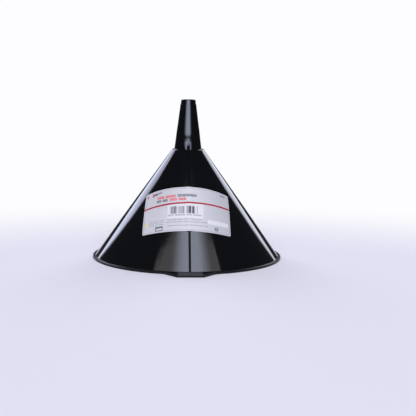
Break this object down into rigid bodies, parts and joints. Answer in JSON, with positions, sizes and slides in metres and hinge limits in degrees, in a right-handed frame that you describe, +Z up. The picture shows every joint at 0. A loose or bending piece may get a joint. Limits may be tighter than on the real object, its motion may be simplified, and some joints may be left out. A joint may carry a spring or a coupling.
{
  "type": "funnel",
  "caption": "Moulded plastic funnel with a steep conical bowl, a tapered spout, a rimmed mouth with a grip tab, a low rib and a wrapped label.",
  "frame": {"origin": "centre of the mouth, in the plane that the rim rests on", "axes": "+Z up the axis towards the outlet, the tab, rib and label on the -Y side"},
  "size_m": [0.171, 0.182, 0.143],
  "materials": {
    "black_plastic": "glossy moulded black",
    "label_film": "satin printed film in silver grey"
  },
  "bodies": {
    "root": {"funnel_body": "black_plastic", "label": "label_film"}
  },
  "joints": []
}
